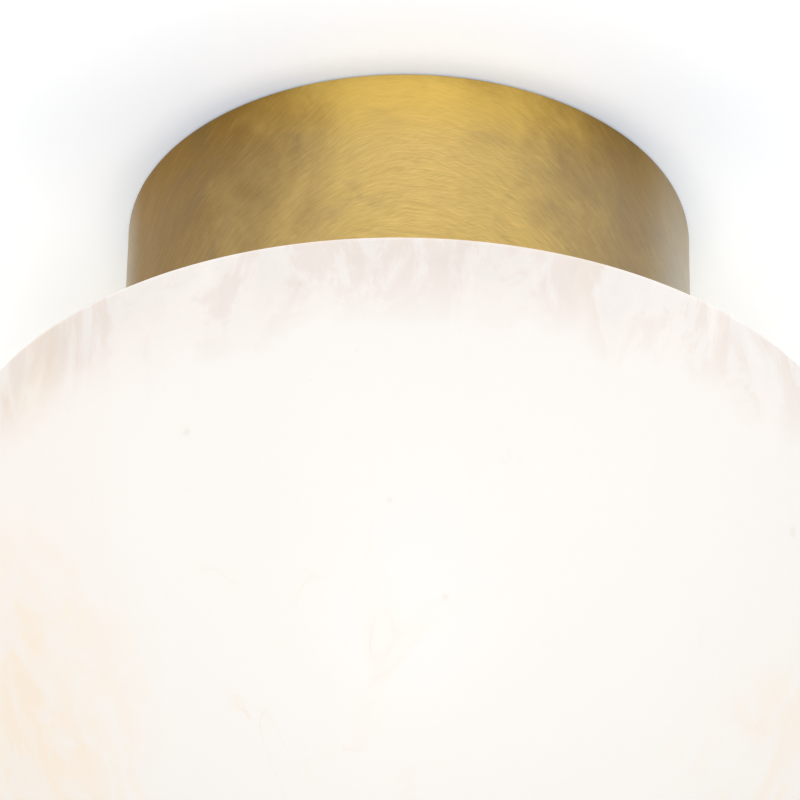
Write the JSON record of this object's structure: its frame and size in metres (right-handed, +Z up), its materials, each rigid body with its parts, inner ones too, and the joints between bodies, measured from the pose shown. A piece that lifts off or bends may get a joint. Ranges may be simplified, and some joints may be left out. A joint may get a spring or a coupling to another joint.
{
  "type": "flush mount ceiling light",
  "caption": "Flush ceiling light: a short brushed brass can holds a hollow white alabaster shade with a crisp rim, a short upright wall and a half-round bottom, lit from inside.",
  "frame": {"origin": "centre of the canopy on the ceiling plane, which is also the middle of the bracket's two slots", "axes": "+Z up into the ceiling, along the common axis of canopy and shade; +X along the bracket; -Y towards the viewer of the picture"},
  "size_m": [0.2, 0.2, 0.1978],
  "materials": {
    "alabaster": "satin",
    "aged_brass": "satin",
    "machined_brass": "satin",
    "zinc_steel": "satin",
    "green_screw": "satin",
    "white_enamel": "gloss",
    "white_ceramic": "satin",
    "frosted_glass": "matte",
    "nickel_wire": "satin",
    "spring_bronze": "satin",
    "black_plastic": "matte",
    "rubber": "matte",
    "felt": "matte"
  },
  "bodies": {
    "fixture": {"ceiling_bracket": "zinc_steel", "ground_screw": "green_screw", "centre_tube": "zinc_steel", "bracket_nut": "zinc_steel", "canopy": "aged_brass", "canopy_plate": "zinc_steel", "threaded_collar": "machined_brass", "collar_screws": "zinc_steel", "lamp_pan": "white_enamel", "lock_washer": "zinc_steel", "centre_nut": "zinc_steel", "wire_bushing": "black_plastic", "lamp_holder_1": "white_ceramic", "lamp_holder_2": "white_ceramic", "lamp_holder_3": "white_ceramic", "holder_screws": "zinc_steel", "socket_contacts": "spring_bronze"},
    "seal": {"felt_seal": "felt"},
    "shade": {"alabaster_shade": "alabaster", "shade_ring": "machined_brass", "ring_gasket": "felt", "clamp_feet": "zinc_steel", "clamp_pads": "rubber", "clamp_screws": "zinc_steel"},
    "lamp_1": {"lamp_1_base": "white_ceramic", "lamp_1_bulb": "frosted_glass", "lamp_1_pins": "nickel_wire"},
    "lamp_2": {"lamp_2_base": "white_ceramic", "lamp_2_bulb": "frosted_glass", "lamp_2_pins": "nickel_wire"},
    "lamp_3": {"lamp_3_base": "white_ceramic", "lamp_3_bulb": "frosted_glass", "lamp_3_pins": "nickel_wire"}
  },
  "joints": [
    {"name": "seal_drop", "type": "slide", "parent": "fixture", "child": "seal", "axis": [0, 0, -1], "range_m": [0, 0.01205]},
    {"name": "shade_turn", "type": "hinge", "parent": "seal", "child": "shade", "pos_m": [0, 0, 0], "axis": [0, 0, -1], "range_deg": [0, 720]},
    {"name": "lamp_1_pull", "type": "slide", "parent": "fixture", "child": "lamp_1", "axis": [0, 0, -1], "range_m": [0, 0.008]},
    {"name": "lamp_2_pull", "type": "slide", "parent": "fixture", "child": "lamp_2", "axis": [0, 0, -1], "range_m": [0, 0.008]},
    {"name": "lamp_3_pull", "type": "slide", "parent": "fixture", "child": "lamp_3", "axis": [0, 0, -1], "range_m": [0, 0.008]}
  ],
  "couplings": [
    {"joint": "seal_drop", "follows": "shade_turn", "m_per_rad": 0.00095493}
  ]
}
